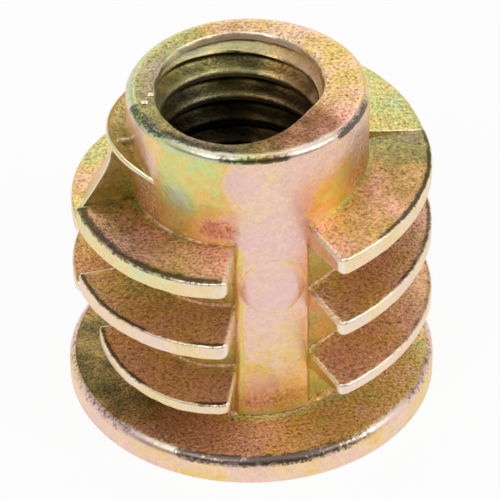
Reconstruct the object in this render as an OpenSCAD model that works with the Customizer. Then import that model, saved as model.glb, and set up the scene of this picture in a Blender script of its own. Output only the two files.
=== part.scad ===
// Insert nut for timber, cast in one piece: a flange with a hexagon socket, a round core,
// coarse interrupted fins that cut into the wood, and a plain bore for a metric thread.
// It stands on its flange, +Z runs along the bore, and the origin is the centre of the
// flange's face. The die halves meet in a plane through the axis: the front half holds the
// fins of one tilt and the back half those of another, as the die lets them draw.

/* [Overall] */
// Height from the flange's face to the tip
total_h = 15.15; // [14.5:0.05:20]
// Diameter of the core and collar
core_d = 10.1; // [9.9:0.1:11]
// Diameter of the core at the roots between the fins
root_d = 9.86; // [9.7:0.02:9.9]
// Radius of the collar's outer edge at the tip
tip_round = 0.32; // [0.1:0.02:0.5]

/* [Flange] */
// Diameter of the flange
flange_d = 16; // [15.8:0.1:22]
// Thickness of the flange
flange_t = 1.32; // [0.8:0.02:2]
// Radius of the flange's upper edge
flange_round = 0.34; // [0.1:0.02:0.6]
// Chamfer of the flange's lower edge
flange_chamfer = 0.1; // [0.05:0.05:0.3]

/* [Outer fins] */
// Diameter over the fins
fin_d = 15.44; // [14:0.02:15.7]
// Rise from one fin to the next
fin_pitch = 3.31; // [3:0.01:3.4]
// Height of the lowest fin's middle above the flange's face
first_fin_z = 3.81; // [3.4:0.01:4]
// Thickness of the lowest fin at its crest
crest_t = 0.5; // [0.4:0.02:0.7]
// What each higher fin gains in thickness
crest_gain = 0.13; // [0:0.01:0.15]
// How much thicker a fin is where it leaves the core
root_gain = 0.4; // [0.1:0.02:0.6]
// Chamfer of the crest's edges
crest_chamfer = 0.1; // [0.04:0.02:0.16]
// Leg of the fillet at a fin's root
root_fillet = 0.22; // [0.1:0.02:0.3]
// Slope of the fins in the front half of the die, rise over run
front_slope = 0.065; // [0.04:0.005:0.08]
// Slope of the fins in the back half of the die, rise over run
back_slope = 0.108; // [0.08:0.002:0.12]

/* [Slots and seam] */
// Angle of the plain strip that interrupts the fins at the front and at the back
slot_angle = 36; // [24:1:48]
// Turn of the parting plane about the axis, from square with the strips
seam_turn = 3.5; // [0:0.5:6]
// Diameter of the round flat pad on the front strip
pad_d = 2.75; // [2:0.05:3]
// Height of the pad's middle
pad_z = 8.3; // [7:0.1:10]
// How far the pad stands out of the core
pad_proud = 0.04; // [0.02:0.01:0.1]

/* [Thread start] */
// Diameter over the thread's last stretch, on the left behind the seam
start_d = 12; // [11.4:0.1:12.4]
// Width of the cutting tooth's foot, from the axis
tooth_foot_x = 7.38; // [6.8:0.02:7.5]
// Width of the cutting tooth's shoulder, from the axis
tooth_shoulder_x = 5.88; // [5.6:0.02:6.2]
// Width of the cutting tooth's tip, from the axis
tooth_tip_x = 6.06; // [5.8:0.02:6.3]
// Drop of the cutting tooth's top below the tip of the insert
tooth_drop = 0.5; // [0.3:0.05:1]
// Length of the cutting tooth behind the seam
tooth_len = 3.8; // [2:0.1:4.5]
// Angle by which the tooth's outer side falls back behind its cutting edge
tooth_relief = 22; // [10:1:26]
// Angle about the axis over which the tooth's upper end sinks into the core
tip_angle = 34; // [26:1:44]
// Thickness of the ledge that fades out in front of the seam
ledge_t = 0.5; // [0.3:0.02:0.6]
// Slope of that ledge, rise over run from front to back
ledge_slope = 0.4; // [0.2:0.02:0.5]
// Angle about the axis over which it fades into the core
ledge_angle = 32; // [24:1:40]
// Diameter of the circle that the lowest fin's left arm follows as it runs out
runout_d = 13.3; // [13:0.05:14]
// Shift of that circle towards the front
runout_shift = 0.94; // [0.7:0.02:1.06]

/* [Bore and socket] */
// Diameter of the bore, the minor diameter of its metric thread
bore_d = 6.65; // [6:0.01:6.8]
// Diameter of the bore's mouth at the tip
mouth_d = 7.2; // [7:0.05:7.8]
// Hexagon socket in the flange, across its flats
socket_af = 8; // [7:0.1:8.2]
// Depth of the hexagon socket
socket_depth = 4.5; // [4:0.1:6]
// Diameter of the socket's chamfered mouth
socket_mouth_d = 9.6; // [9.5:0.1:10]

/* [Hidden] */
$fn = 96;

core_r = core_d / 2;
root_r = root_d / 2;
fin_r = fin_d / 2;
start_r = start_d / 2;
fins = 3;
reach = flange_d;               // longer than anything that is cut
strip_half = slot_angle / 2;
seam_lap = 0.8;                 // angle by which the two halves are sunk into each other
tooth_lap = 0.15;               // how far the tooth and the ledge reach past the seam
bite = 0.4;                     // how deep a fin's foot is sunk in the core
half_root = root_gain / 2;
front_rise = front_slope * fin_r;
back_rise = back_slope * fin_r;
collar_z = fin_z(fins - 1);     // the collar starts inside the top fin
start_t = fin_crest(fins - 1);
shoulder_z = back_z(fins - 1) + back_rise + start_t / 2;   // top of the thread start
socket_corner_d = socket_af / cos(30);

// Middle height and crest thickness of fin i at the axis, in the front half.
function fin_z(i) = first_fin_z + i * fin_pitch;
function fin_crest(i) = crest_t + i * crest_gain;
// Middle height of the same fin in the back half, which leaves it at the right-hand seam.
function back_z(i) = fin_z(i) + front_rise + back_rise;

// Section of a fin: a tapered rib with chamfered crest edges and a flared root.
module fin_section(r, t) {
    polygon([
        [root_r - bite, -t / 2 - half_root - root_fillet - bite],
        [root_r + root_fillet, -t / 2 - half_root],
        [r - crest_chamfer, -t / 2],
        [r, -t / 2 + crest_chamfer],
        [r, t / 2 - crest_chamfer],
        [r - crest_chamfer, t / 2],
        [root_r + root_fillet, t / 2 + half_root],
        [root_r - bite, t / 2 + half_root + root_fillet + bite]
    ]);
}

// A whole ring of that section, tilted along X.
module ring(z, slope, r, t)
    translate([0, 0, z])
        rotate([0, -atan(slope), 0])
            rotate_extrude()
                fin_section(r, t);

// Wedge of space about the axis between two angles counted from +X.
module wedge(from, to)
    linear_extrude(2 * reach)
        polygon([[0, 0], reach * [cos(from), sin(from)], reach * [cos(to), sin(to)]]);

// One arm of a fin: what its ring shows between a strip and the seam.
module arm(z, slope, r, t, from, to)
    intersection() {
        ring(z, slope, r, t);
        wedge(from, to);
    }

// The arms in front of the seam. The lowest one on the left starts low, so its crest
// follows a circle that is shifted towards the front.
module front_fins() {
    for (i = [0 : fins - 1])
        arm(fin_z(i), front_slope, fin_r, fin_crest(i), -90 + strip_half, seam_turn);
    for (i = [1 : fins - 1])
        arm(fin_z(i), front_slope, fin_r, fin_crest(i), 180 + seam_turn, 270 - strip_half);
    intersection() {
        arm(fin_z(0), front_slope, fin_r, fin_crest(0), 180 + seam_turn, 270 - strip_half);
        translate([0, -runout_shift, 0])
            cylinder(d = runout_d, h = reach);
    }
}

// The arms behind the seam. The one that carries on from the top fin is cut down on the
// left, where the thread starts.
module back_fins() {
    for (i = [0 : fins - 1])
        arm(back_z(i), -back_slope, fin_r, fin_crest(i), seam_turn - seam_lap, 90 - strip_half);
    for (i = [0 : fins - 2])
        arm(back_z(i), -back_slope, fin_r, fin_crest(i), 90 + strip_half, 180 + seam_turn + seam_lap);
    arm(back_z(fins - 1), -back_slope, start_r, start_t, 90 + strip_half, 180 + seam_turn + seam_lap);
}

// The cutting tooth stands at the left-hand seam and closes the gap between the fins there.
// Its front face lies at the parting plane and its side falls back behind that face. Above
// its shoulder it carries the end of the thread start, which sinks into the core behind it.
module cutting_tooth() {
    foot_z = fin_z(fins - 1) - front_rise + fin_crest(fins - 1) / 2;
    root_z = back_z(fins - 2) + back_rise;
    top_z = total_h - tooth_drop;
    waist_z = (shoulder_z + top_z) / 2;
    tooth_block(tooth_len, [
        [0, root_z],
        [tooth_side(tooth_foot_x), root_z],
        [tooth_side(tooth_foot_x), foot_z],
        [tooth_side(tooth_shoulder_x), shoulder_z],
        [0, shoulder_z]
    ]);
    intersection() {
        tooth_block(core_r, [
            [0, shoulder_z - tooth_drop],
            [tooth_side(tooth_shoulder_x), shoulder_z - tooth_drop],
            [tooth_side(tooth_shoulder_x), shoulder_z],
            [tooth_side(tooth_tip_x), waist_z],
            [tooth_side(tooth_tip_x), top_z],
            [0, top_z]
        ]);
        fading_cylinder(tooth_tip_x, tip_angle);
    }
}

// A section in the parting plane, drawn back along the tooth's relieved side.
module tooth_block(length, section)
    rotate([0, 0, seam_turn])
        intersection() {
            cylinder(r = fin_r, h = total_h);
            translate([-reach, -tooth_lap, 0])
                cube([reach, length + tooth_lap, total_h]);
            rotate([90, 0, -tooth_relief])
                linear_extrude(2 * reach, center = true)
                    polygon(section);
        }

// Where a distance from the axis, measured in the parting plane, lies in the tooth's section.
function tooth_side(x) = -x * cos(tooth_relief);

// Upright cylinder that has radius r at the left-hand seam and sinks into the core at an
// angle from it: behind the seam where the angle is positive, in front where it is negative.
module fading_cylinder(r, angle) {
    arc_r = (r + core_r) / 2;
    seam_end = [-r, 0];
    core_end = core_r * [-cos(angle), sin(angle)];
    chord = core_end - seam_end;
    inward = sign(angle) * [chord.y, -chord.x] / norm(chord);
    centre = (seam_end + core_end) / 2 + inward * sqrt(pow(arc_r, 2) - pow(norm(chord) / 2, 2));
    rotate([0, 0, seam_turn])
        translate([centre.x, centre.y, 0])
            cylinder(r = arc_r, h = total_h);
}

// The ledge carries the thread start across the seam and fades into the core.
module fading_ledge()
    intersection() {
        fading_cylinder(start_r, -ledge_angle);
        rotate([0, 0, seam_turn])
            translate([-reach, -core_r, 0])
                cube([reach, core_r + tooth_lap, total_h]);
        rotate([0, 0, seam_turn])
            translate([0, 0, shoulder_z + ledge_t / 2])
                rotate([atan(ledge_slope), 0, 0])
                    rotate_extrude()
                        fin_section(fin_r, ledge_t);
    }

module core() {
    cylinder(r = root_r, h = total_h - tip_round);
    for (front = [0, 1])
        intersection() {
            cylinder(r = core_r, h = total_h - tip_round);
            rotate([0, 0, 90 + 180 * front])
                wedge(-strip_half - seam_lap, strip_half + seam_lap);
        }
    translate([0, 0, collar_z])
        rotate_extrude()
            rounded_section(core_r, total_h - collar_z, tip_round);
}

// Half-section of a disc with its upper outer edge rounded.
module rounded_section(r, h, edge) {
    square([r, h - edge]);
    square([r - edge, h]);
    translate([r - edge, h - edge])
        intersection() {
            circle(r = edge);
            square(edge);
        }
}

module flange() {
    rotate_extrude()
        difference() {
            rounded_section(flange_d / 2, flange_t, flange_round);
            translate([flange_d / 2, 0])
                rotate(45)
                    square(flange_chamfer * sqrt(2), center = true);
        }
    translate([0, 0, flange_t])
        cylinder(r1 = root_r + root_fillet, r2 = root_r, h = root_fillet);
}

module pad()
    translate([0, 0, pad_z])
        rotate([90, 0, 0])
            cylinder(d = pad_d, h = core_r + pad_proud);

module bore() {
    mouth_h = (mouth_d - bore_d) / 2;
    translate([0, 0, -1])
        cylinder(d = bore_d, h = total_h + 2);
    translate([0, 0, total_h - mouth_h])
        cylinder(d1 = bore_d, d2 = mouth_d + 2 * mouth_h, h = 2 * mouth_h);
}

module hex_socket() {
    floor_h = (socket_af - bore_d) / 2;
    lead_h = (socket_mouth_d - socket_af) / 2;
    translate([0, 0, -1])
        cylinder(d = socket_corner_d, h = socket_depth + 1, $fn = 6);
    translate([0, 0, socket_depth])
        cylinder(d1 = socket_af, d2 = bore_d, h = floor_h);
    translate([0, 0, -lead_h])
        cylinder(d1 = socket_mouth_d + 2 * lead_h, d2 = socket_af, h = 2 * lead_h);
}

module insert_body()
    color([0.80, 0.68, 0.42])
        difference() {
            union() {
                flange();
                core();
                pad();
                front_fins();
                back_fins();
                cutting_tooth();
                fading_ledge();
            }
            bore();
            hex_socket();
        }

insert_body();
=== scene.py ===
import math

import bpy
import numpy as np
from mathutils import Matrix, Vector, noise


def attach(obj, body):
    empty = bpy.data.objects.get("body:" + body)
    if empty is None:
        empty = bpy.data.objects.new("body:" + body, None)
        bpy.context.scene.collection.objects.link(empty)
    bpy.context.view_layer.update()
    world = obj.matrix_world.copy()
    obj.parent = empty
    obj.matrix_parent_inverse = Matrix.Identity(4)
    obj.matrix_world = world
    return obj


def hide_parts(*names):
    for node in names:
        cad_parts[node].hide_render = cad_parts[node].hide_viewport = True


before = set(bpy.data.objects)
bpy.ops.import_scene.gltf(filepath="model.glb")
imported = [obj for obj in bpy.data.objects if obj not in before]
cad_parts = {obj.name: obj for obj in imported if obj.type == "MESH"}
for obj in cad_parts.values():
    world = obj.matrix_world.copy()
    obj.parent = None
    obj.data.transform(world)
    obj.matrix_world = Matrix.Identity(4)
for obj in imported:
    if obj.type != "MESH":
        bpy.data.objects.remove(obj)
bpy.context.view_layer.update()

# The nut stands on its flange with its axis on z. Radii and heights are in units of U, or in
# millimetres where the text says so, and leave for Blender in metres. An azimuth is in degrees
# from -Y, the front, and grows towards +X, the right.
MM = 0.001
U = 0.08                                   # in millimetres: half a percent of the flange's diameter

FLANGE = 100.0                             # radius
FLANGE_TOP = 16.4
FLANGE_EDGE = 5.4                          # radius of the rounded upper edge
BACK_DROP = 2.6                            # the flange's upper side is this much lower at the back
FOOT = 3.1                                 # radius of the fillet at the core's foot
CORE = 63.5                                # radius of the collar and the plain strips
ROOT = 61.5                                # radius of the core between the fins
COLLAR_BOTTOM = 131
TIP = 189.6                                # height of the tip
TIP_EDGE = 4.0                             # radius of its outer edge
STRIP = 18.0                               # half width of a plain strip, in degrees
SEAM_LEFT, SEAM_RIGHT = -86.5, 93.5        # azimuths at which the mould halves meet
CORNER = 4.6                               # radius of a fin's free corner, seen from above
ARM_RADIUS = 82.0                          # middle of a fin's width
TO_ANGLE = 180 / math.pi / ARM_RADIUS      # from a length along a fin to degrees

# The mouth is not round: the thread's last groove opens it at the left and the back. Azimuth and
# radius, measured on the photograph.
MOUTH = [(-180, 49.9), (-161, 50.2), (-139, 50.4), (-100, 49.4), (-69, 51.4), (-47, 52.8),
         (-25, 52.0), (-18, 51.0), (-1, 47.2), (13, 43.3), (30, 39.4), (43, 38.0),
         (55, 38.3), (68, 39.6), (98, 41.6), (137, 45.8), (171, 49.4), (180, 49.9)]
DRAWN_MOUTH = 46.2                         # radius of the round mouth that the tip's outline is drawn for
BORE_DRIFT = (-4.2, 0.8)                   # the bore leans this far off the tip's centre at the mouth


# ---------------------------------------- camera, floor and light

PHOTO = 500                                # pixels across and down
SENSOR = 36.0                              # millimetres


def srgb(r, g, b):
    """A colour as it looks on screen, to the linear value that the shaders take."""
    return tuple(c / 12.92 if c <= 0.04045 else ((c + 0.055) / 1.055) ** 2.4 for c in (r, g, b)) + (1.0,)


def make_camera():
    """The photograph's view, found by fitting the nut's outlines to it."""
    focal = 3791.7                         # pixels
    distance = 2050.875                    # from the pivot
    tilt = math.radians(38.57)
    roll = math.radians(0.703)
    turn = math.radians(10.86)
    pivot = Vector((0, 0, 75))
    pivot_x, pivot_y = 250.04, 256.96      # where the photograph shows the pivot, in pixels

    right = Vector((math.cos(turn), -math.sin(turn), 0))
    away = Vector((math.sin(turn), math.cos(turn), 0))
    forward = away * math.cos(tilt) - Vector((0, 0, math.sin(tilt)))
    up = away * math.sin(tilt) + Vector((0, 0, math.cos(tilt)))
    place = pivot - forward * distance
    place -= right * ((pivot_x - PHOTO / 2) * distance / focal)
    place += up * ((pivot_y - PHOTO / 2) * distance / focal)
    rolled_right = right * math.cos(roll) - up * math.sin(roll)
    rolled_up = right * math.sin(roll) + up * math.cos(roll)

    data = bpy.data.cameras.new("camera")
    data.sensor_width = SENSOR
    data.lens = focal / PHOTO * SENSOR
    data.clip_start = 0.005
    data.clip_end = 5
    camera = bpy.data.objects.new("camera", data)
    axes = Matrix((rolled_right, rolled_up, -forward)).transposed().to_4x4()
    camera.matrix_world = Matrix.Translation(place * (U * MM)) @ axes
    bpy.context.scene.collection.objects.link(camera)
    bpy.context.scene.camera = camera


class Tree:
    """A cleared node tree, with short ways to add nodes. A value is a number, a colour or a socket."""

    def __init__(self, tree):
        tree.nodes.clear()
        self.nodes = tree.nodes
        self.links = tree.links

    def put(self, value, socket):
        if isinstance(value, bpy.types.NodeSocket):
            self.links.new(value, socket)
        else:
            socket.default_value = value

    def add(self, kind, inputs=()):
        node = self.nodes.new(kind)
        for name, value in dict(inputs).items():
            self.put(value, node.inputs[name])
        return node

    def calc(self, operation, a, b, clamp=False):
        node = self.add("ShaderNodeMath", {0: a, 1: b})
        node.operation = operation
        node.use_clamp = clamp
        return node.outputs[0]


def make_world():
    """White all round for the camera. Metal also sees the dim parts of a studio: the side where
    the photographer stands, and a grey wall behind the object."""
    world = bpy.data.worlds.new("studio")
    bpy.context.scene.world = world
    world.use_nodes = True
    tree = Tree(world.node_tree)
    view_x, view_y = 0.188, 0.982          # the camera's direction, seen from above
    dim_front, dim_back = 0.85, 0.42       # the share of light that these sides lack
    on_matt = 0.35                         # strength of the light that falls on matt things

    def step(value, low, high):
        node = tree.add("ShaderNodeMapRange", {"From Min": low, "From Max": high, "Value": value})
        node.interpolation_type = "SMOOTHSTEP"
        return node.outputs[0]

    parts = tree.add("ShaderNodeSeparateXYZ", {0: tree.add("ShaderNodeTexCoord").outputs["Generated"]})
    x, y, height = parts.outputs
    away = tree.calc("ADD", tree.calc("MULTIPLY", x, view_x), tree.calc("MULTIPLY", y, view_y))

    def field(side, bottom, top):
        """1 where a direction points to that side, above the bottom and below the top."""
        tall = tree.calc("MULTIPLY", step(height, *bottom), step(height, *top))
        return tree.calc("MULTIPLY", step(away, *side), tall)

    front = field((-0.10, -0.40), (-0.2, -0.1), (0.84, 0.66))
    back = field((-0.30, 0.0), (0.28, 0.45), (0.95, 0.85))
    studio = tree.calc("SUBTRACT", 1.0, tree.calc("MULTIPLY", front, dim_front))
    studio = tree.calc("SUBTRACT", studio, tree.calc("MULTIPLY", back, dim_back), True)

    # The camera sees plain white, and what shines or lets light through sees the studio.
    path = tree.add("ShaderNodeLightPath").outputs
    camera = path["Is Camera Ray"]
    shiny = tree.calc("MAXIMUM", path["Is Glossy Ray"], path["Is Transmission Ray"])
    rest = tree.calc("SUBTRACT", tree.calc("SUBTRACT", 1.0, camera), shiny, True)
    strength = tree.calc("ADD", camera, tree.calc("MULTIPLY", shiny, studio))
    strength = tree.calc("ADD", strength, tree.calc("MULTIPLY", rest, on_matt))
    light = tree.add("ShaderNodeBackground", {"Strength": strength})
    light.inputs["Color"].default_value = (1.0, 1.0, 1.0, 1.0)
    tree.add("ShaderNodeOutputWorld", {"Surface": light.outputs[0]})


def make_floor():
    """White paper just under the nut, which the rays that see the background see as a pale glow."""
    half = 1.2                             # metres
    gap = 0.00002                          # metres
    glow_share = 0.93
    corners = [(-half, -half, 0), (half, -half, 0), (half, half, 0), (-half, half, 0)]
    mesh = bpy.data.meshes.new("floor")
    mesh.from_pydata(corners, [], [(0, 1, 2, 3)])
    floor = bpy.data.objects.new("floor", mesh)
    floor.location.z = -gap
    bpy.context.scene.collection.objects.link(floor)

    material = bpy.data.materials.new("floor")
    material.use_nodes = True
    tree = Tree(material.node_tree)
    paper = tree.add("ShaderNodeBsdfDiffuse")
    paper.inputs["Color"].default_value = (0.9, 0.9, 0.9, 1.0)
    glow = tree.add("ShaderNodeEmission")
    glow.inputs["Color"].default_value = (1.0, 1.0, 1.0, 1.0)
    glow.inputs["Strength"].default_value = 1.0
    path = tree.add("ShaderNodeLightPath").outputs
    seen = tree.calc("MAXIMUM", path["Is Camera Ray"], path["Is Glossy Ray"])
    seen = tree.calc("MAXIMUM", seen, path["Is Transmission Ray"])
    share = tree.calc("MULTIPLY", seen, glow_share)
    mix = tree.add("ShaderNodeMixShader", {0: share, 1: paper.outputs[0], 2: glow.outputs[0]})
    tree.add("ShaderNodeOutputMaterial", {"Surface": mix.outputs[0]})
    mesh.materials.append(material)


def softbox(name, place, size, power):
    """An area lamp that faces the nut. Its place and size are in centimetres."""
    cm = 0.01
    nut_middle = Vector((0, 0, 0.0075))    # metres
    data = bpy.data.lights.new(name, "AREA")
    data.shape = "RECTANGLE"
    data.size = size[0] * cm
    data.size_y = size[1] * cm
    data.energy = power
    lamp = bpy.data.objects.new(name, data)
    lamp.location = Vector(place) * cm
    aim = nut_middle - lamp.location
    lamp.rotation_mode = "QUATERNION"
    lamp.rotation_quaternion = aim.to_track_quat("-Z", "Y")
    bpy.context.scene.collection.objects.link(lamp)


# ---------------------------------------- mesh building

class Shell:
    """Grids of points in millimetres, with the surface facts that the material reads."""

    # The facts: the film's colour, painted shade, a dark mottled line that is partly a stain and partly a
    # painted dark reflection, painted highlight, grain and painted deep shade.
    FACTS = ("film", "shade", "dark_line", "bright", "grain", "soot")
    SHARP = 38                             # degrees between faces, above which an edge is sharp
    SLIVER = 1e-13                         # square metres: faces of less than half of it are left out

    def __init__(self):
        self.points = []
        self.faces = []
        self.count = 0
        self.facts = {name: [] for name in self.FACTS}

    def grid(self, xyz, closed=False, cap=False, flip=False, **facts):
        """xyz is columns x rows x 3. closed joins the last column to the first, cap closes both
        end columns, and a fact is a number or an array that fits columns x rows."""
        columns, rows = xyz.shape[:2]
        self.points.append(xyz.reshape(-1, 3))
        for name in self.FACTS:
            value = np.broadcast_to(np.asarray(facts.get(name, 0.0), float), (columns, rows))
            self.facts[name].append(value.reshape(-1))
        column = np.arange(columns if closed else columns - 1)[:, None]
        row = np.arange(rows - 1)[None]
        a = column * rows + row
        b = (column + 1) % columns * rows + row
        quads = np.stack([a, b, b + 1, a + 1], -1).reshape(-1, 4)
        if cap:
            i = np.arange(rows // 2 - 1)
            j = rows - 1 - i
            strip = np.stack([i, i + 1, j - 1, j], -1)
            quads = np.concatenate([quads, strip, strip[:, ::-1] + (columns - 1) * rows])
        if flip:
            quads = quads[:, ::-1]
        self.faces.append(quads + self.count)
        self.count += columns * rows

    def build(self, name):
        points = np.concatenate(self.points) * MM
        faces = np.concatenate(self.faces)
        p = points[faces]
        area = np.linalg.norm(np.cross(p[:, 2] - p[:, 0], p[:, 3] - p[:, 1]), axis=1)
        mesh = bpy.data.meshes.new(name)
        mesh.from_pydata(points.tolist(), [], faces[area > self.SLIVER].tolist())
        mesh.validate()
        mesh.update()
        for fact, values in self.facts.items():
            layer = mesh.attributes.new(fact, "FLOAT", "POINT")
            layer.data.foreach_set("value", np.concatenate(values).astype(np.float32))
        mesh.polygons.foreach_set("use_smooth", [True] * len(mesh.polygons))
        mesh.set_sharp_from_angle(angle=math.radians(self.SHARP))
        piece = bpy.data.objects.new(name, mesh)
        bpy.context.scene.collection.objects.link(piece)
        return piece


def sine(azimuth):
    return np.sin(np.radians(azimuth))


def polar(r, azimuth, z):
    """Points at a radius, an azimuth and a height."""
    a = np.radians(azimuth)
    return np.stack(np.broadcast_arrays(r * np.sin(a), -r * np.cos(a), z), -1)


def ramp(x, pairs):
    """Straight lines between pairs of a place and a value."""
    return np.interp(x, [p[0] for p in pairs], [p[1] for p in pairs])


def smooth(x, low, high):
    """0 up to low, 1 from high on, with a soft step between. high may be the smaller one."""
    t = np.clip((x - low) / (high - low), 0, 1)
    return t * t * (3 - 2 * t)


def band(x, middle, width, power=2):
    """1 at the middle, and falling off on both sides."""
    return np.exp(-((x - middle) / width) ** power)


def blend(old, new, share):
    return old * (1 - share) + new * share


def hollow(distance, radius):
    """How far a fillet stands out, as a share of its radius: 1 at the wall, 0 at its far end."""
    t = np.clip(1 - distance / radius, 0, 1)
    return 1 - np.sqrt(1 - t * t)


def constant(value):
    return lambda azimuth: value


def bend(start, end, step):
    """Angles of an arc, in radians."""
    return np.radians(np.arange(start, end + 1, step))


def fold(azimuth):
    """An azimuth between -180 and 180."""
    return (azimuth + 180) % 360 - 180


def waver(points, size, seed):
    """Smooth noise in -1..1 at each point, with lumps of the given size."""
    apart = 17.3                           # from one seed's part of the noise to the next
    flat = points.reshape(-1, 3) / size + seed * apart
    return np.array([noise.noise(Vector(p)) for p in flat]).reshape(points.shape[:-1])


# ---------------------------------------- core, flange and tip

# Stains on the collar and the front strip: azimuth, height, half width and half height, then the
# film, shade and grain in their middle.
STAINS = [
    (-38, 172, 17, 13, 0.6, 0.0, 0.1),
    (-31, 156, 9, 8, 0.56, 0.0, 0.1),
    (-72, 166, 12, 9, 0.08, 0.0, 0.2),
    (-14, 172, 10, 9, 0.04, 0.0, 0.1),
    (36, 158, 13, 8, 0.4, 0.0, 0.1),
    (24, 148, 9, 6, 0.36, 0.0, 0.2),
    (62, 152, 15, 9, 0.3, 0.5, 0.9),
    (-70, 140, 11, 14, 0.15, 0.6, 1.0),
    (-48, 137, 10, 6, 0.42, 0.05, 0.3),
    (-26, 142, 9, 6, 0.1, 0.85, 1.0),
    (-8, 48, 7, 7, 0.3, 0.0, 0.2),
    (0, 27, 17, 6, 0.2, 0.5, 0.8),
    (-50, 188, 8, 4, 0.95, 0.0, 0.0),
]


def swell(azimuth):
    """The rear mould half sits a little to the left: the collar stands out behind the left seam."""
    return 0.7 * band(azimuth, -106, 24)


def make_flange(shell):
    """From the socket's mouth outwards, round the edge and up to the core's foot."""
    azimuth = np.arange(0, 360, 1.25)[:, None]
    near = fold(azimuth)
    path = [(60, 0), (75, 0), (90, 0), (98.2, 0), (99.4, 0.5), (FLANGE, 1.6)]
    path += [(FLANGE, 4), (FLANGE, 7), (99.9, 10)]
    for a in bend(0, 90, 9):
        path.append((FLANGE - FLANGE_EDGE * (1 - math.cos(a)), FLANGE_TOP - FLANGE_EDGE * (1 - math.sin(a))))
    path += [(r, FLANGE_TOP) for r in (92.5, 88, 82, 76, 70)]
    for a in bend(0, 90, 15):
        path.append((ROOT + FOOT * (1 - math.sin(a)), FLANGE_TOP + 0.1 + FOOT * (1 - math.cos(a))))
    path.append((ROOT, 22))
    r, z = np.array(path).T[:, None]

    lumps = waver(polar(r, azimuth, z), 14.0, 3)
    on_edge = band(r, 97.3, 2.0) * (z > 13)
    drop = BACK_DROP * smooth(np.abs(near), 72, 115) * smooth(z, 9, 13)
    xyz = polar(r, azimuth, z + 0.35 * lumps * on_edge - drop)

    # The top is in painted shade and painted deep shade; its rounded rim carries a dark mottled line, partly
    # a stain and partly a painted dark reflection, and painted highlights at both sides of the front.
    top = ((z > 15.9) & (r < 97.5)).astype(float)
    side = ((r > 98.2) & (z < 13)).astype(float)
    top_shade = ramp(near, [(-180, 0.6), (-90, 0.95), (-60, 0.85), (-40, 0.6), (-20, 0.42), (10, 0.32),
                            (40, 0.18), (70, 0.2), (180, 0.6)])
    side_film = ramp(near, [(-180, 0.2), (-70, 0.1), (-30, 0.25), (20, 0.12), (60, 0.3), (180, 0.2)])
    top_film = ramp(near, [(-180, 0.3), (-90, 0.5), (-60, 0.45), (-45, 0.08), (-15, 0.2), (20, 0.28),
                           (60, 0.3), (180, 0.3)])
    dark_rim = ramp(near, [(-180, 0.2), (-85, 0.45), (-55, 0.5), (-47, 0.1), (-38, 0.1), (-32, 0.95),
                           (10, 1.0), (26, 0.6), (33, 0.1), (44, 0.0), (50, 0.5), (75, 0.45),
                           (95, 0.2), (180, 0.2)])
    rim_highlight = ramp(near, [(-180, 0), (-62, 0), (-52, 0.9), (-38, 1.0), (-32, 0.0), (22, 0.0),
                             (30, 1.0), (44, 1.0), (50, 0), (180, 0)])
    soot = ramp(near, [(-180, 0.1), (-90, 0.5), (-60, 0.45), (-44, 0.15), (-30, 0.0), (180, 0.1)])
    rim = band(r, 97.7, 2.6) * (z > 11.0)
    rim_highlight_band = band(r, 97.3, 1.3) * (z > 12.5)
    root_highlight = band(r, 64.8, 1.0) * (z < 21) * (z > 12)
    shell.grid(xyz * U, closed=True,
               film=side * side_film + top * (top_film + 0.612 * root_highlight),
               shade=top * top_shade * (1 - root_highlight),
               dark_line=dark_rim * rim,
               bright=rim_highlight * rim_highlight_band,
               grain=top + 0.15,
               soot=top * soot)


def make_core(shell):
    """The core up to the tip's edge, with its strips, the grooves between the fins and the collar."""
    azimuth = np.arange(0, 360, 1.0)[:, None]
    near = fold(azimuth)
    from_strip = np.minimum(np.abs(near), 180 - np.abs(near))
    z = np.concatenate([np.arange(17.1, 136, 2.9), np.linspace(136, TIP - 3.8, 20)])[None]
    in_strip = 1 - smooth(from_strip, STRIP - 1.0, STRIP + 1.4)
    in_collar = smooth(z, COLLAR_BOTTOM, COLLAR_BOTTOM + 2)
    r = ROOT + (CORE - ROOT) * np.maximum(in_strip, in_collar) + swell(near) * in_collar
    r = r + 0.22 * waver(polar(r, azimuth, z), 17.0, 5)
    xyz = polar(r, azimuth, z)

    groove = (1 - in_strip) * (1 - in_collar)
    collar_film = ramp(near, [(-180, 0.1), (-95, 0.05), (-75, 0.0), (-52, 0.58), (-32, 0.6), (-10, 0.12),
                              (6, 0.03), (24, 0.02), (40, 0.18), (62, 0.1), (95, 0.35), (180, 0.1)])
    low_film = ramp(near, [(-180, 0.2), (-60, 0.12), (-44, 0.25), (-30, 0.4), (-18, 0.1), (-8, 0.0),
                           (16, 0.0), (22, 0.22), (40, 0.36), (60, 0.4), (90, 0.5), (180, 0.3)])
    strip_film = ramp(z, [(20, 0.26), (45, 0.12), (70, 0.16), (100, 0.12), (130, 0.0), (190, 0.0)])
    film = blend(collar_film, np.where(in_strip > 0.5, strip_film, low_film), smooth(z, 158, 138))
    film = blend(film, 0.55, groove)
    strip_edge = band(from_strip, STRIP - 2.4, 1.7) * (1 - in_collar)
    film = film + 0.36 * strip_edge * smooth(near, 10, -10)
    # Painted shade in the grooves between the fins, and painted shade with coarser grain on the collar's
    # right side.
    right_dark = smooth(near, 44, 56) * smooth(near, 104, 84) * smooth(z, 184, 166) * in_collar
    shade = np.clip(groove * 0.5 + 0.28 * right_dark, 0, 1)
    grain = 0.15 + 0.6 * right_dark + 0.2 * groove
    ragged = waver(xyz, 4.0, 61)
    for at, level, wide, tall, new_film, new_shade, new_grain in STAINS:
        distance = ((near - at) / wide) ** 2 + ((z - level) / tall) ** 2 + 0.5 * ragged
        share = smooth(distance, 1.8, 0.35) * (1 - groove)
        film = blend(film, new_film, share)
        shade = blend(shade, new_shade, share)
        grain = blend(grain, new_grain, share)
    shell.grid(xyz * U, closed=True, film=film, shade=shade, grain=grain)


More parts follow.
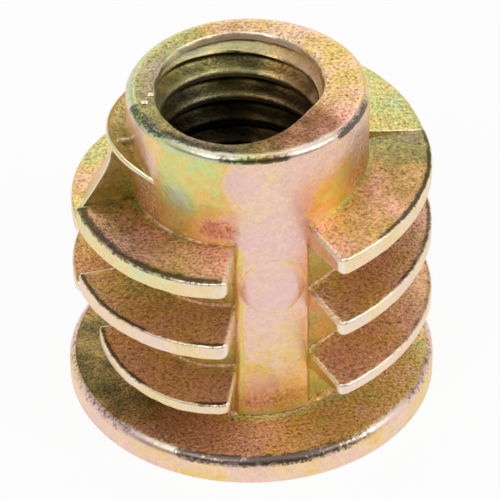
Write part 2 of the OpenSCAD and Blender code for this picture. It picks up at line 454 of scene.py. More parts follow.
def make_tip(shell):
    """An outer edge, a mottled flat, the lip of the mouth and a chamfer that leads in."""
    azimuth = np.arange(0, 360, 1.25)[:, None]
    near = fold(azimuth)
    path = []
    for a in bend(0, 90, 11.25):
        path.append((CORE - TIP_EDGE * (1 - math.cos(a)), TIP - TIP_EDGE * (1 - math.sin(a))))
    path += [(r, TIP) for r in (57.6, 55.8, 54, 52, 50, 48.4)]
    path += [(47.0, TIP - 0.1), (DRAWN_MOUTH, TIP - 0.5), (45.7, TIP - 1.2), (45.2, TIP - 2.4)]
    path += [(44.6, TIP - 4.0), (48.5, TIP - 7.0)]
    drawn, level = np.array(path).T[:, None]

    r = drawn + swell(near) * (drawn > 55) * smooth(TIP - level, 0.6, 3.9)
    xyz = polar(r, azimuth, level)
    z = level + 0.30 * waver(xyz, 6.0, 9) * band(drawn, 54.0, 7.0)
    lumps = waver(xyz, 9.0, 21)
    lip = smooth(drawn, 47.5, 45.0)

    # The flat is stretched between its outer side, which stays, and the mouth's real edge.
    opening = ramp(near, MOUTH)
    outer_side = 58
    flat_part = (drawn < 57.7) & (drawn > DRAWN_MOUTH - 0.1) & (level > TIP - 5)
    stretched = outer_side + (r - outer_side) * (outer_side - opening) / (outer_side - DRAWN_MOUTH)
    moved = np.where(drawn < 57.7, r + opening - DRAWN_MOUTH, r)
    calm = smooth(near, -88, -84) * smooth(near, -14, -40)
    r = np.where(flat_part, stretched, moved) + 0.5 * lumps * lip * (1 - 0.6 * calm)

    flat = smooth(drawn, 45.4, 47.0) * smooth(drawn, 61.0, 58.5)
    film = ramp(near, [(-180, 0.1), (-120, 0.9), (-90, 0.75), (-60, 0.68), (-20, 0.8), (10, 0.05),
                       (40, 0.0), (65, 0.25), (95, 0.38), (130, 0.2), (180, 0.1)])
    # The flat is in painted shade and painted deep shade, most at the front.
    shade = ramp(near, [(-180, 0.35), (-120, 0.6), (-90, 0.75), (-60, 0.85), (-20, 1.0), (20, 1.0),
                        (46, 0.95), (60, 0.45), (90, 0.25), (140, 0.15), (180, 0.35)])
    soot = ramp(near, [(-180, 0.12), (-120, 0.25), (-60, 0.38), (-20, 0.5), (30, 0.52), (46, 0.35),
                       (56, 0.08), (120, 0.04), (180, 0.14)])
    streak = ramp(near, [(-180, 0), (-87.5, 0.0), (-86, 0.75), (-60, 0.75), (-25, 0.65), (-12, 0.2),
                         (0, 0.0), (180, 0)])
    streak_r = ramp(near, [(-180, 61.5), (-86, 61.5), (-62, 60.5), (-50, 58.0), (-20, 57.0), (180, 57.0)])
    # edge_dark paints a dark mottled reflection on the outer edge's rounding; edge_light and back_highlight
    # are painted highlights on that edge and on the mouth's lip at the back.
    edge_dark = ramp(near, [(-180, 0.1), (-30, 0.1), (-22, 0.9), (6, 1.0), (12, 0.0), (34, 0.0),
                            (38, 1.0), (62, 1.0), (74, 0.2), (180, 0.1)])
    edge_light = ramp(near, [(-180, 0.1), (-66, 0.0), (-58, 1.0), (-26, 1.0), (-12, 0.45), (6, 0.6),
                             (14, 1.0), (33, 1.0), (38, 0.1), (180, 0.1)])
    back_highlight = ramp(near, [(-180, 0.4), (-165, 1.0), (-140, 1.0), (-125, 0.2), (-110, 0.0),
                             (120, 0.0), (150, 0.7), (180, 0.4)])
    edge_line = edge_dark * band(level, TIP - 2.2, 2.0) * (drawn > 60.5)
    streak_line = streak * band(r, streak_r, 3.0, 4) * (level > TIP - 3.6)
    edge_highlight = edge_light * band(drawn, 60.4, 1.7) * (1 - edge_line) * (1 - streak_line)
    shell.grid(polar(r, azimuth, z) * U, closed=True, film=film, shade=shade * flat,
               dark_line=np.clip(streak_line + edge_line, 0, 1),
               bright=edge_highlight + 0.9 * back_highlight * lip,
               grain=0.95 * flat + 0.2,
               soot=soot * flat)


def make_bore(shell):
    """A right-hand M8 x 1.25 thread, in millimetres. Its rows follow the helix, so its crests stay
    crisp."""
    pitch = 1.25
    turns = 9
    per_turn = 14
    minor = 82.6 * U / 2
    first_z, floor_z = 3.95, 5.15
    mouth_z = (TIP - 4.6) * U
    fade_length = 0.35
    azimuth = np.arange(0, 360.1, 2.5)[:, None]
    row = np.arange(per_turn * turns + 1)[None]
    depth = ramp(row % per_turn / per_turn, [(0, 0), (0.14, 0.02), (0.22, 0.12), (0.46, 0.56), (0.52, 0.6),
                                             (0.60, 0.6), (0.66, 0.56), (0.90, 0.12), (1, 0)])
    z = first_z + row * (pitch / per_turn) + pitch * azimuth / 360
    at_mouth = smooth(z, mouth_z - fade_length, mouth_z + 0.05)
    r = blend(minor + depth, ramp(fold(azimuth), MOUTH) * U, at_mouth)
    r = blend(r, minor, smooth(z, floor_z + 0.45, floor_z))
    z = np.clip(z, floor_z, mouth_z)
    lean = smooth(z, 4.0, mouth_z - fade_length) * (1 - at_mouth)
    xyz = polar(r, azimuth, z) + np.array([*BORE_DRIFT, 0.0]) * U * lean[..., None]

    # Painted shade and painted deep shade grow with depth; the crests near the mouth carry a painted
    # highlight.
    crest = 1 - smooth(depth, 0.02, 0.16)
    deep = smooth(z, 13.5, 7.5)
    soot = smooth(z, 14.2, 10.2) * 0.97 + 0.3 * (1 - crest) * smooth(z, 15.0, 13.8) + 0.22
    shell.grid(xyz, flip=True,
               film=0.45 + 0.18 * np.sin(np.radians(azimuth * 2 + 40)),
               shade=0.78 + 0.22 * deep - 0.25 * crest,
               bright=0.25 * crest * (1 - deep),
               grain=0.45,
               soot=np.clip(soot, 0, 0.97))


def make_socket(shell):
    """The hexagon socket in the flange, in millimetres, with a chamfered mouth and a conical floor."""
    across_flats = 8.0
    mouth = 4.8                            # radius of the chamfer at the flange's face
    azimuth = np.arange(0, 360, 1.25)[:, None]
    to_wall = across_flats / 2 / np.cos(np.radians((azimuth + 90 + 30) % 60 - 30))
    wall_z = np.array([0, 0.04, 0.1, 0.18, 0.3, 0.45, 0.6, 0.7, 0.8, 1.1, 1.8, 2.8, 3.8, 4.3, 4.5])[None]
    wall_r = np.maximum(to_wall, mouth - wall_z)
    floor_r, floor_z = np.array([(4.0, 4.5), (3.6, 4.9), (3.3, 5.2)]).T[:, None]
    r = np.concatenate([wall_r, np.repeat(floor_r, len(azimuth), 0)], 1)
    z = np.concatenate([wall_z, floor_z], 1)
    # The socket is in painted shade and a little painted deep shade.
    shell.grid(polar(r, azimuth, z), closed=True, flip=True, film=0.35, shade=0.5, grain=0.3, soot=0.2)


# ---------------------------------------- fins

def section(tip, half, low_gain, up_gain, base, corner, fillet):
    """Radii and heights of a cut through an arm, from its foot below, round the crest and back."""
    reach = max(tip - base, 2.0)
    curve = min(corner, half * 0.9)
    along = [base + d for d in (-1.5, 0, 0.35, 0.8, 1.5, fillet, fillet + 0.8, fillet + 1.7, fillet + 2.8)]
    along += list(np.linspace(along[-1], tip - curve - 6.5, 5)[1:])
    along += [tip - curve - d for d in (4.6, 3.2, 2.2, 1.4, 0.7, 0.0)]
    along = np.sort(np.clip(along, base - 1.5, tip - curve))

    def flank(gain):
        return half + gain * (tip - along) / reach + fillet * hollow(along - base, fillet) * 0.8

    turn = np.radians([18, 36, 54, 72])
    turn_r = tip - curve + curve * np.sin(turn)
    turn_z = half - curve + curve * np.cos(turn)
    r = np.concatenate([along, turn_r, [tip, tip], turn_r[::-1], along[::-1]])
    z = np.concatenate([-flank(low_gain), -turn_z, [curve - half, half - curve], turn_z[::-1],
                        flank(up_gain)[::-1]])
    return r, z


def sweep(shell, start, end, crest, height, thick, facts, base=ROOT, low_gain=constant(4.4),
          up_gain=constant(0.8), round_end=(False, False), corner=1.5, fillet=1.8, flare=2.0, round_to=3.0):
    """A fin arm between two azimuths. crest, thick and the gains, which say how much each flank
    spreads towards the foot, are functions of the azimuth, and height also takes the radius.
    Radii: corner at the crest, fillet along the foot, flare where the ends meet the core, and
    round_to at most at the ends' edges. round_end says which ends lose their outer corner."""
    blunt = min(round_to, thick((start + end) / 2) * 0.3)
    lead = []
    for a, bevel in zip(np.radians([90, 68, 45, 22, 0]), (1.0, 0.5, 0.5, 0.5, 0.1)):
        lead.append((blunt * (1 - math.sin(a)) * TO_ANGLE, blunt * (1 - math.cos(a)), bevel))
    free_ends = [(at, sign) for at, sign, free in zip((start, end), (1, -1), round_end) if free]

    def plan_cut(azimuth):
        """How much shorter an arm is near a free end, whose corner is rounded from above."""
        gaps = [abs(azimuth - at) / TO_ANGLE for at, sign in free_ends]
        inside = max(0.0, CORNER - min(gaps, default=CORNER))
        return CORNER - math.sqrt(CORNER ** 2 - inside ** 2)

    # A column is an azimuth, what its section loses all round, its end and its share of the bevel.
    inner = list(np.linspace(start, end, max(3, int(abs(end - start) / 1.5)))[1:-1])
    inner += [at + sign * gap * TO_ANGLE for at, sign in free_ends for gap in (3.9, 5.0)]
    clear = 1.3 * blunt * TO_ANGLE
    columns = [(start + gap, cut, -1.0, bevel) for gap, cut, bevel in lead]
    columns += [(a, 0.0, 0.0, 0.0) for a in sorted(inner) if start + clear < a < end - clear]
    columns += [(end - gap, cut, 1.0, bevel) for gap, cut, bevel in reversed(lead)]

    rows = []
    for a, cut, side, bevel in columns:
        tip = crest(a) - max(cut, plan_cut(a))
        r, z = section(tip, thick(a) / 2 - cut, low_gain(a), up_gain(a), base, corner, fillet)
        rows.append((r, z, a + side * 1.25 * flare * hollow(r - base, flare) * TO_ANGLE))
    r, z, azimuth = np.array(rows).transpose(1, 0, 2)
    z = z + height(azimuth, r)
    xyz = polar(r, azimuth, z)
    tips = r.max(1, keepdims=True)
    worn = smooth(r, tips - 3.2, tips - 0.4)
    z = z + (0.28 * waver(xyz, 7.0, 13) + 0.10 * waver(xyz, 3.2, 31)) * worn
    r = r + 0.16 * waver(xyz, 5.0, 41) * worn
    count = r.shape[1]
    upper = (np.arange(count)[None] > count // 2).astype(float)
    bevels = np.array([column[3] for column in columns])[:, None]
    shell.grid(polar(r, azimuth, z) * U, cap=True, flip=True, **facts(azimuth, r, upper, tips - r, bevels))


def fin_facts(tone):
    """Surface facts of an arm: flanks in painted shade, a crest with a painted highlight and a dark mottled
    line inside its upper edge, partly a stain and partly a painted dark reflection. A tone gives them along
    the azimuth, and wide says how much broader the dark line is."""
    wide = tone.get("wide", 0.0)
    # The root line is a painted highlight in pale green along the foot's fillet; the end face is in painted
    # shade and its rounded edge carries a painted highlight.
    root_film, end_film, bevel_film = 0.64, 0.34, 0.3
    end_shade = 0.3

    def facts(azimuth, r, upper, from_crest, bevels):
        names = ("film", "shade", "dark", "bright", "crest", "soot")
        film, shade, dark, bright, crest, soot = (ramp(azimuth, tone.get(n, [(0, 0.0)])) for n in names)
        flank = smooth(from_crest, 0.3, 1.2)
        root_highlight = band(r, 64.2, 0.9) * upper
        end_face = smooth(bevels, 0.55, 0.95)
        bevel = smooth(bevels, 0.1, 0.5) * (1 - end_face) * smooth(r, 66, 72)
        dark = dark * band(from_crest, 1.7 + 0.7 * wide, 1.5 + wide) * upper
        bright = bright * (1 - flank) * (upper + 0.5 * (1 - upper))
        film = blend(blend(crest, film, flank), end_film, end_face)
        shade = blend(flank * (1 - 0.8 * root_highlight) * shade, end_shade, end_face)
        return dict(film=blend(blend(film, root_film, root_highlight), bevel_film, bevel),
                    shade=shade * (1 - bevel),
                    dark_line=np.clip(dark, 0, 1) * (1 - end_face) * (1 - bevel),
                    bright=np.clip(bright * (1 - end_face) + 0.9 * bevel, 0, 1),
                    grain=0.15 + 0.85 * flank * (1 - end_face),
                    soot=flank * upper * soot)
    return facts


# Tones of the arms behind the seams, with their painted shade and highlights.
BACK_TONE = dict(film=[(0, 0.3)], shade=[(0, 0.85)], dark=[(0, 0.4)], bright=[(0, 0.35)], crest=[(0, 0.2)])
FAR_TONE = dict(film=[(180, 0.3), (240, 0.55), (252, 0.1), (258, 0.3), (264, 0.6), (274, 0.7)],
                shade=[(180, 0.8), (225, 0.35), (262, 0.3), (275, 0.4)],
                dark=[(0, 0.1)], bright=[(0, 0.2)], crest=[(0, 0.3)])
SEAM_TONE = dict(film=[(90, 0.5), (110, 0.6), (130, 0.55), (165, 0.3)],
                 shade=[(90, 0.12), (120, 0.08), (165, 0.3)],
                 dark=[(0, 0.2)], bright=[(90, 0.3), (165, 0.2)], crest=[(0, 0.3)])


def round_crest(azimuth, reach=0.0):
    """Radius of a fin's crest, which is a little longer on the right."""
    return 96.1 + 1.0 * sine(azimuth) + reach * smooth(sine(azimuth), 0.6, 1.0)


def run_out_crest(azimuth):
    """Crest of the lowest left arm: a circle of radius 83 about a centre in front of the axis."""
    x, y = -2.0, -11.7
    radius = 83.0
    ahead = x * sine(azimuth) - y * np.cos(np.radians(azimuth))
    return np.minimum(ahead + np.sqrt(ahead ** 2 + radius ** 2 - x ** 2 - y ** 2), round_crest(azimuth))


def tilted(z, slope, curve=((0, 0.0),)):
    """The height of a fin that leans to one side, bent by a curve along the azimuth."""
    return lambda azimuth, r: z + slope * r * sine(azimuth) + ramp(azimuth, curve)


def front_low_gain(azimuth):
    return 4.0 - 1.6 * sine(azimuth)


def front_up_gain(azimuth):
    return 0.8 + 3.2 * sine(azimuth)


def seam_up_gain(azimuth):
    """Behind the right-hand seam the upper flank rises more steeply to the core."""
    return 4.0 + 4.0 * smooth(azimuth, 150, 94)


def make_front_arms(shell, fin):
    """The two arms of the front mould half, from the front strip to the seams."""
    gains = dict(low_gain=front_low_gain, up_gain=front_up_gain)

    def right_crest(azimuth):
        return round_crest(azimuth, fin["reach"])

    def left_thick(azimuth):
        return fin["left_thick"] + 1.6 * smooth(azimuth, -62, -86)

    sweep(shell, STRIP, SEAM_RIGHT + 1, right_crest, tilted(fin["middle"], fin["slope"], fin["rise"]),
          constant(fin["right_thick"]), fin_facts(fin["right_tone"]), round_end=(True, False), **gains)
    sweep(shell, SEAM_LEFT, -STRIP, fin["left_crest"], tilted(fin["middle"], fin["slope"], fin["sag"]),
          left_thick, fin_facts(fin["left_tone"]), round_end=(False, True), **gains)


def make_back_right_arm(shell, fin):
    """From the right seam to the back strip."""
    joint = fin["middle"] + fin["rise"][-1][1] - 0.3

    def crest(azimuth):
        return round_crest(azimuth, fin["reach"])

    def climb(azimuth, r):
        step = fin["seam_lift"] * smooth(azimuth, SEAM_RIGHT, 112)
        return joint + fin["slope"] * r + 0.14 * (azimuth - SEAM_RIGHT) + step

    sweep(shell, SEAM_RIGHT - 0.8, 180 - STRIP, crest, climb, constant(fin["right_thick"]),
          fin_facts(fin["seam_tone"]), up_gain=seam_up_gain, round_to=0.8)


def back_level(fin, curve=((0, 0.0),)):
    """The height of a fin in the back's left half, where it falls to the right."""
    fall = 0.108
    at_crest = 97
    return tilted(fin["middle"] + (fin["slope"] + fall) * at_crest + 0.8, -fall, curve)


def make_stub(shell, fin):
    """What is left of the top fin before the tooth."""
    end, crest, thick = 232, 70.0, 8.0
    sweep(shell, 180 + STRIP, end, constant(crest), back_level(fin), constant(thick),
          fin_facts(fin["back_tone"]), low_gain=constant(2.0))


def make_back_left_arm(shell, fin):
    """From the back strip to the left seam."""
    lift = fin["back_lift"]
    curve = [(198, 0.0), (222, lift + 1.6), (246, lift + 1.0), (264, lift), (275, lift)]

    def crest(azimuth):
        return round_crest(azimuth) + fin["back_reach"]

    sweep(shell, 180 + STRIP, 360 + SEAM_LEFT + 0.5, crest, back_level(fin, curve),
          constant(fin["left_thick"] - 0.4), fin_facts(fin["back_tone"]))


# The fins from the top down. middle is the height on the axis and slope the rise to the right.
# sag and rise bend the left and the right arm, and reach makes the right one longer at its side.
# Behind the seams, seam_lift is the step at the right, back_lift raises the left arm's end and
# back_reach makes it longer. The top fin's left arm is cut down to a stub at the back.
FINS = [
    dict(middle=130.4, slope=0.060, left_thick=10.3, right_thick=10.2,
         reach=0.0, seam_lift=1.8, left_crest=round_crest,
         sag=[(-86, -0.4), (-73, -0.6), (-56, -1.5), (-33, -2.1), (-23, -1.4), (-18, -0.9)],
         rise=[(18, 0.8), (25, 1.3), (35, 1.9), (48, 2.7), (58, 3.0), (75, 2.2), (94, 1.4)],
         seam_tone=SEAM_TONE, back_tone=BACK_TONE,
         left_tone=dict(
             film=[(-90, 0.5), (-70, 0.1), (-52, 0.04), (-40, 0.16), (-30, 0.05), (-18, 0.0)],
             shade=[(-90, 0.8), (-60, 0.5), (-45, 0.5), (-32, 0.3), (-25, 0.22)],
             dark=[(-90, 0.9), (-25, 0.9), (-18, 0.7)],
             bright=[(-90, 0.3), (-60, 0.75), (-45, 0.85), (-30, 0.9), (-17, 1.0)],
             crest=[(-90, 0.5), (-50, 0.4), (-18, 0.15)],
             soot=[(-90, 0.3), (-60, 0.22), (-48, 0.22), (-38, 0.1), (-25, 0.0)],
             wide=1.6),
         right_tone=dict(
             film=[(18, 0.15), (35, 0.4), (50, 0.25), (70, 0.35), (88, 0.7), (95, 0.7)],
             shade=[(18, 0.45), (40, 0.65), (60, 0.75), (80, 0.8), (95, 0.8)],
             dark=[(18, 0.1), (32, 0.1), (36, 0.95), (70, 0.95), (95, 0.5)],
             bright=[(18, 0.9), (34, 0.95), (44, 0.85), (70, 0.7), (95, 0.2)],
             crest=[(18, 0.35), (60, 0.35), (95, 0.3)],
             soot=[(30, 0.03), (50, 0.1), (65, 0.26), (95, 0.26)])),
    dict(middle=88.9, slope=0.060, left_thick=9.2, right_thick=8.6,
         reach=0.6, seam_lift=1.8, back_lift=0.3, back_reach=0.0, left_crest=round_crest,
         sag=[(-86, -3.4), (-78, -3.2), (-68, -2.4), (-57, -1.9), (-33, -1.8), (-23, -1.0), (-18, -0.2)],
         rise=[(18, 0.8), (25, 1.3), (35, 1.9), (48, 2.9), (58, 3.8), (75, 4.4), (94, 4.6)],
         seam_tone=BACK_TONE, back_tone=FAR_TONE,
         left_tone=dict(
             film=[(-90, 0.2), (-70, 0.25), (-45, 0.2), (-30, 0.12), (-18, 0.15)],
             shade=[(-90, 0.55), (-50, 0.45), (-25, 0.3)],
             dark=[(-90, 0.9), (-50, 0.9), (-45, 0.1), (-33, 0.0), (-28, 0.8), (-18, 0.9)],
             bright=[(-90, 0.5), (-50, 0.7), (-33, 1.0), (-28, 0.7), (-17, 0.9)],
             crest=[(-90, 0.25), (-18, 0.2)]),
         right_tone=dict(
             film=[(18, 0.12), (40, 0.2), (60, 0.12), (95, 0.0)],
             shade=[(18, 0.35), (60, 0.45), (95, 0.6)],
             dark=[(18, 0.1), (30, 0.3), (36, 0.1), (48, 0.8), (95, 0.7)],
             bright=[(18, 1.0), (36, 1.0), (48, 0.6), (95, 0.3)],
             crest=[(18, 0.1), (95, 0.25)])),
    dict(middle=47.6, slope=0.040, left_thick=6.8, right_thick=6.8,
         reach=1.4, seam_lift=3.4, back_lift=1.6, back_reach=0.9, left_crest=run_out_crest,
         sag=[(-86, -2.6), (-34, -2.6), (-24, -0.8), (-17, 0.5)],
         rise=[(18, 0.8), (25, 1.3), (35, 1.9), (48, 2.7), (58, 3.2), (75, 2.8), (94, 2.3)],
         seam_tone=BACK_TONE, back_tone=BACK_TONE,
         left_tone=dict(
             film=[(-90, 0.2), (-60, 0.12), (-45, 0.05), (-30, 0.15), (-18, 0.12)],
             shade=[(-90, 0.5), (-50, 0.4), (-25, 0.32)],
             dark=[(-90, 0.8), (-55, 0.8), (-46, 0.3), (-33, 0.0), (-28, 0.9), (-18, 0.95)],
             bright=[(-90, 0.4), (-50, 0.8), (-33, 1.0), (-28, 0.6), (-17, 1.0)],
             crest=[(-90, 0.2), (-18, 0.28)]),
         right_tone=dict(
             film=[(18, 0.12), (40, 0.2), (60, 0.1), (95, 0.4)],
             shade=[(18, 0.35), (60, 0.45), (95, 0.6)],
             dark=[(18, 0.1), (34, 0.1), (40, 0.5), (95, 0.5)],
             bright=[(18, 1.0), (36, 1.0), (48, 0.6), (95, 0.3)],
             crest=[(18, 0.1), (95, 0.3)])),
]


def make_fins(shell):
    for fin in FINS:
        make_front_arms(shell, fin)
        make_back_right_arm(shell, fin)
        if fin is FINS[0]:
            make_stub(shell, fin)
        else:
            make_back_left_arm(shell, fin)


# ---------------------------------------- thread start

def spaced(outline, step):
    """An outline with points added so that they lie about a step apart."""
    points = []
    for p, q in zip(outline[:-1], outline[1:]):
        count = max(1, int(np.hypot(*(q - p)) / step))
        points += [p + (q - p) * i / count for i in range(count)]
    return np.array(points + [outline[-1]])


def make_tooth(shell):
    """The cutting tooth behind the left-hand seam. Its face is flat, its side falls back, and its
    far end narrows to a point inside the core."""
    outline = [(58, 119), (80, 120.5), (92.2, 127), (89.8, 130.6), (87, 134.7), (84, 139.4),
               (81.2, 144.3), (78.4, 150), (75.9, 156.4), (75.0, 161.0), (73.6, 163.5),
               (70.5, 162.0), (66.0, 159.5), (58, 158)]
    face = spaced(np.array(outline, float), 2.4)
    middle = np.array([64.0, 147.0])
    far_end = np.array([54.0, 147.0])
    narrows_from, length = 22, 54
    out = np.array([sine(SEAM_LEFT), -np.cos(np.radians(SEAM_LEFT))])
    back = np.array([0.38, 1.0])

    # Distances behind the face, with how much the rounded edge takes off there.
    steps = [(0.0, 1.3), (0.05, 0.7), (0.3, 0.3), (0.8, 0.07)]
    steps += [(s, 0.0) for s in (1.4, 3, 6, 10, 15, 21, 28, 34, 40, 46, 50, length)]
    columns = []
    for s, cut in steps:
        away = face - middle
        size = np.linalg.norm(away, axis=1, keepdims=True)
        p = middle + away * (1 - np.minimum(cut / size, 0.95))
        p = far_end + (p - far_end) * (1 - smooth(s, narrows_from, length))
        columns.append(np.concatenate([out * p[:, :1] + back * s, p[:, 1:]], 1))
    xyz = np.array(columns)
    off_core = np.clip((face[:, 0] - 62) / 6, 0, 1)[None, :, None]
    xyz = xyz + 0.45 * waver(xyz, 6.0, 51)[..., None] * off_core * np.array([1, 1, 0.6])

    s = np.array([s for s, cut in steps])[:, None]
    z = xyz[..., 2]
    side_film = 0.66 - 0.6 * smooth(z, 126, 140) * smooth(s, 1, 9)
    side_film = side_film + 0.45 * smooth(z, 140, 155) * smooth(s, 4, 20)
    # Painted shade: strong at the face's outline and light on the side; the rounded edge carries a painted
    # highlight, and the flat face below is in painted shade.
    shell.grid(xyz * U,
               film=np.where(s < 1.6, 0.3, side_film),
               shade=np.where(s < 0.2, 0.92, 0.30),
               bright=((s > 0.03) & (s < 1.6)) * (face[None, :, 0] > 72),
               grain=0.3)

    # The flat face, from its outline to a line inside the core's wall.
    line_r = 58.0
    share = np.linspace(0, 1, 6)[:, None, None]
    inside = xyz[0] * [0, 0, 1] + np.append(out, 0) * line_r
    shell.grid(blend(inside, xyz[0], share) * U, film=0.52, shade=0.6, grain=0.5)


def lip_crest(azimuth):
    return ramp(azimuth, [(-152, 62.5), (-135, 66.0), (-120, 69.9), (-110, 72.7), (-100, 74.6), (-93, 75.3),
                          (-86.5, 75.3), (-80, 73.0), (-74, 70.2), (-68, 66.8), (-63, 64.3), (-60, 63.0),
                          (-57, 62.4)])


def lip_height(azimuth, r):
    return ramp(azimuth, [(-152, 167.9), (-110, 167.6), (-100, 167.4), (-92, 167.8), (-86.5, 166.8),
                          (-80, 164.1), (-70, 160.0), (-60, 155.6), (-54, 153.2)])


def lip_thick(azimuth):
    return ramp(azimuth, [(-110, 5.2), (-87, 5.0), (-78, 4.2), (-58, 3.2)])


def lip_groove(azimuth):
    """The lip's upper side dips towards the collar, most where the lip stands out most."""
    return -5.5 * np.clip((lip_crest(azimuth) - CORE) / 11, 0, 1)


def lip_facts(azimuth, r, upper, from_crest, bevels):
    flank = smooth(from_crest, 0.6, 1.5)
    front = smooth(azimuth, -101, -97)
    # glow is a painted highlight on the crest near -70 degrees; the flanks are in painted shade, with a
    # little painted deep shade and a dark line towards the front.
    glow = band(azimuth, -70, 5.0) * (1 - flank)
    film = blend(0.52 + 0.1 * np.sin(azimuth / 3.0), 0.62 - 0.15 * front, flank)
    return dict(film=film - 0.1 * glow,
                shade=flank * (0.3 + 0.2 * front) + (1 - flank) * 0.2 * (1 - glow),
                dark_line=0.25 * flank * upper * front,
                bright=0.5 * (1 - flank) + 0.3 * glow,
                grain=0.3 + 0.5 * flank,
                soot=0.12 * flank * front)


def make_lip(shell):
    """The last of the thread's crest: a lip that stands up behind the left-hand seam, crosses it
    and fades into the collar in front. Between the lip and the collar lies a shallow groove."""
    sweep(shell, -150.0, -57.5, lip_crest, lip_height, lip_thick, lip_facts, base=CORE,
          low_gain=constant(2.2), up_gain=lip_groove, fillet=1.2, flare=0.6)


def make_pad(shell):
    """A round flat ejector mark on the front strip, a little proud, that blends into the core."""
    middle_z = 104
    proud = 0.25
    radius = np.array([0, 4, 8, 12, 15, 16.2, 16.9, 17.4, 17.9, 18.6])[None]
    turn = np.arange(0, 360, 7.5)[:, None]
    x = radius * sine(turn)
    z = middle_z + radius * np.cos(np.radians(turn))
    outermost = radius > 18.3
    on_core = -np.sqrt(CORE ** 2 - x ** 2) - 0.2 + 1.6 * outermost
    y = blend(-(CORE + proud), on_core, smooth(radius, 12.5, 18.2))
    rim = band(radius, 17.2, 1.2)
    green = 0
    for at, most, low, high in ((145, 0.8, 0.5, 0.95), (50, 0.6, 0.6, 0.95), (-62, 0.5, 0.7, 0.98)):
        green = green + most * smooth(np.cos(np.radians(turn - at)), low, high)
    shell.grid(np.stack([x, y, z], -1) * U, closed=True, flip=True,
               film=0.06 + rim * 0.5 * np.clip(green, 0, 1),
               shade=0.1 * rim * green,
               grain=0.1)


# Crumbs of flash on the tip: radius, azimuth and height, then size and seed.
CRUMBS = [
    ((68.3, -87.3, 166.6), (4.6, 0.9, 1.6), 3),
    ((51.5, -93.0, 189.7), (1.9, 1.4, 0.7), 15),
    ((55.6, -86.5, 189.7), (2.3, 1.2, 0.7), 19),
]


def make_crumb(shell, place, size, seed):
    """A crumb of flash: a small lumpy ball."""
    turn = np.arange(0, 360, 30)[:, None]
    lift = np.linspace(-90, 90, 9)[None]
    ball = polar(np.cos(np.radians(lift)), turn + 90, sine(lift))
    lumps = 1 + 0.45 * waver(ball, 0.5, seed)
    xyz = ball * lumps[..., None] * np.array(size) + polar(*place)
    # The crumbs carry a painted highlight.
    shell.grid(xyz * U, closed=True, film=0.5, bright=0.8, grain=0.2)


# ---------------------------------------- finish

def set_stops(node, stops):
    """The colours of a colour ramp: places with screen colours."""
    elements = node.color_ramp.elements
    while len(elements) > 1:
        elements.remove(elements[-1])
    for i, (place, colour) in enumerate(stops):
        element = elements.new(place) if i else elements[0]
        element.position = place
        element.color = srgb(*colour)


THIN_FILM = [(0.0, (0.94, 0.79, 0.76)), (0.14, (0.95, 0.81, 0.73)), (0.28, (0.96, 0.83, 0.66)),
             (0.40, (0.95, 0.80, 0.48)), (0.52, (0.90, 0.86, 0.54)), (0.66, (0.82, 0.86, 0.58)),
             (0.80, (0.84, 0.85, 0.72)), (1.0, (0.93, 0.82, 0.79))]
SHADED_FILM = [(0.0, (0.86, 0.58, 0.46)), (0.18, (0.83, 0.57, 0.37)), (0.34, (0.79, 0.59, 0.33)),
               (0.52, (0.71, 0.60, 0.33)), (0.70, (0.62, 0.58, 0.34)), (0.86, (0.74, 0.63, 0.50)),
               (1.0, (0.78, 0.66, 0.56))]
PIT = (0.30, 0.20, 0.12)
GLINT_HIGHLIGHT = (0.93, 0.78, 0.54)
# The pale colour of painted highlights on crests, rims and edges.
HIGHLIGHT_COLOUR = (0.98, 0.95, 0.88)
# The dark mottled line on crests, rims and edges: partly a stain, partly a painted dark reflection of the
# edges' rounding.
DARK_LINE = (0.17, 0.20, 0.14)
# Near black for painted deep shade: in the bore and the socket, and to darken the tip, the flange and some
# flanks.
DEEP_SHADE_COLOUR = (0.06, 0.045, 0.02)


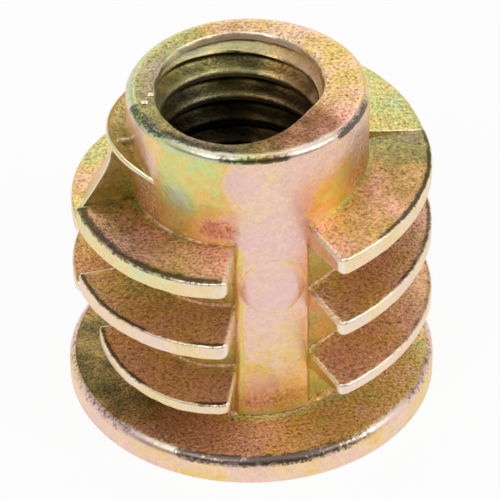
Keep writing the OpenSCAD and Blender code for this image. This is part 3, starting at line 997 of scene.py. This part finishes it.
def make_finish():
    """Yellow chromate on cast zinc: a thin iridescent film over grainy metal, with painted shade, highlights
    and dark reflections laid over it.
    """
    material = bpy.data.materials.new("yellow_chromate")
    material.use_nodes = True
    tree = Tree(material.node_tree)
    calc = tree.calc

    def fact(name):
        node = tree.add("ShaderNodeAttribute")
        node.attribute_name = name
        return node.outputs["Fac"]

    def mix(share, a, b, kind="MIX"):
        node = tree.add("ShaderNodeMix")
        node.data_type = "RGBA"
        node.blend_type = kind
        for socket, value in ((0, share), (6, a), (7, b)):
            tree.put(value, node.inputs[socket])
        return node.outputs[2]

    def noise_of(scale, detail, rough, distortion=0.0):
        node = tree.add("ShaderNodeTexNoise", {"Scale": scale, "Detail": detail, "Roughness": rough,
                                               "Distortion": distortion, "Vector": place})
        return node.outputs["Fac"]

    def span(value, low, high):
        return tree.add("ShaderNodeMapRange", {"From Min": low, "From Max": high, "Value": value}).outputs[0]

    def stir(value, noise, gain, clamp=False):
        """A value that a noise pushes up and down."""
        return calc("ADD", value, calc("MULTIPLY", calc("SUBTRACT", noise, 0.5), gain), clamp)

    def film_colour(stops):
        node = tree.add("ShaderNodeValToRGB", {0: thickness})
        set_stops(node, stops)
        return node.outputs[0]

    place = tree.add("ShaderNodeTexCoord").outputs["Object"]
    film, shade, dark, bright, grain, soot = (fact(name) for name in Shell.FACTS)
    wide = noise_of(330, 3, 0.5, 0.4)
    medium = noise_of(950, 3, 0.5, 0.3)
    small = noise_of(2600, 3, 0.6, 0.2)
    fine = noise_of(6800, 2, 0.6)
    specks = noise_of(9000, 2, 0.6)

    # The film's thickness sets its colour, as on an oil slick: it drifts over the surface.
    thickness = stir(stir(stir(film, wide, 0.7), medium, 0.62), small, 0.30)
    thickness = calc("ADD", thickness, 0.05, True)
    # Painted shade turns the film towards its shaded colours.
    shading = stir(shade, medium, calc("MULTIPLY", shade, 0.5), True)
    colour = mix(shading, film_colour(THIN_FILM), film_colour(SHADED_FILM))

    # Cast grain: every grain is a little darker or lighter, with pits among them, and painted glints of
    # light on some grains.
    jitter = stir(1.0, fine, calc("MULTIPLY", grain, 2.3))
    jitter = calc("MULTIPLY", jitter, stir(1.0, small, 0.22))
    grey = tree.add("ShaderNodeCombineColor", {0: jitter, 1: jitter, 2: jitter})
    colour = mix(1.0, colour, grey.outputs[0], "MULTIPLY")
    pits = calc("MULTIPLY", span(fine, 0.40, 0.26), calc("MULTIPLY", grain, 0.40))
    colour = mix(pits, colour, srgb(*PIT))
    glint_highlights = calc("MULTIPLY", span(specks, 0.54, 0.64), calc("MULTIPLY", grain, 0.75))
    colour = mix(glint_highlights, colour, srgb(*GLINT_HIGHLIGHT))

    # Painted highlights on crests, rims and edges, then the dark mottled line that runs inside them, partly
    # a stain and partly a painted dark reflection, then painted deep shade in patches.
    highlight_cover, line_cover = 0.74, 0.84
    colour = mix(calc("MULTIPLY", bright, highlight_cover, True), colour, srgb(*HIGHLIGHT_COLOUR))
    broken = stir(stir(dark, fine, 1.5), small, 1.1)
    line = calc("MULTIPLY", span(broken, 0.30, 0.75), span(dark, 0.03, 0.25), True)
    colour = mix(calc("MULTIPLY", line, line_cover), colour, srgb(*DARK_LINE))
    # Painted deep shade, broken into patches by the medium noise.
    half_deep_shade = calc("MULTIPLY", soot, calc("SUBTRACT", 1.0, soot))
    patches = calc("MULTIPLY", calc("SUBTRACT", medium, 0.5), half_deep_shade)
    colour = mix(calc("ADD", soot, calc("MULTIPLY", patches, 4.0), True), colour, srgb(*DEEP_SHADE_COLOUR))

    rough = calc("ADD", 0.27, calc("MULTIPLY", grain, 0.14))
    rough = calc("ADD", rough, calc("MULTIPLY", medium, 0.12))
    strength = calc("ADD", 0.06, calc("MULTIPLY", grain, 0.85))
    grain_bump = tree.add("ShaderNodeBump", {"Strength": strength, "Height": fine})
    grain_bump.inputs["Distance"].default_value = 0.00005
    wide_bump = tree.add("ShaderNodeBump", {"Height": medium, "Normal": grain_bump.outputs[0]})
    wide_bump.inputs["Distance"].default_value = 0.00012
    wide_bump.inputs["Strength"].default_value = 0.35
    shader = tree.add("ShaderNodeBsdfPrincipled", {"Base Color": colour, "Roughness": rough,
                                                   "Normal": wide_bump.outputs[0]})
    shader.inputs["Metallic"].default_value = 1.0
    tree.add("ShaderNodeOutputMaterial", {"Surface": shader.outputs[0]})
    return material


def make_insert():
    shell = Shell()
    make_flange(shell)
    make_core(shell)
    make_tip(shell)
    make_bore(shell)
    make_socket(shell)
    make_fins(shell)
    make_tooth(shell)
    make_lip(shell)
    make_pad(shell)
    for place, size, seed in CRUMBS:
        make_crumb(shell, place, size, seed)
    piece = shell.build("insert")
    piece.data.materials.append(make_finish())
    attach(piece, "root")
    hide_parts("insert_body")


bpy.context.scene.view_settings.view_transform = "Standard"
make_camera()
make_world()
make_floor()
softbox("key", (-22, -24, 34), (16, 16), 0.55)
softbox("fill", (26, -20, 30), (16, 16), 0.5)
softbox("back", (4, 30, 30), (20, 10), 0.2)
make_insert()
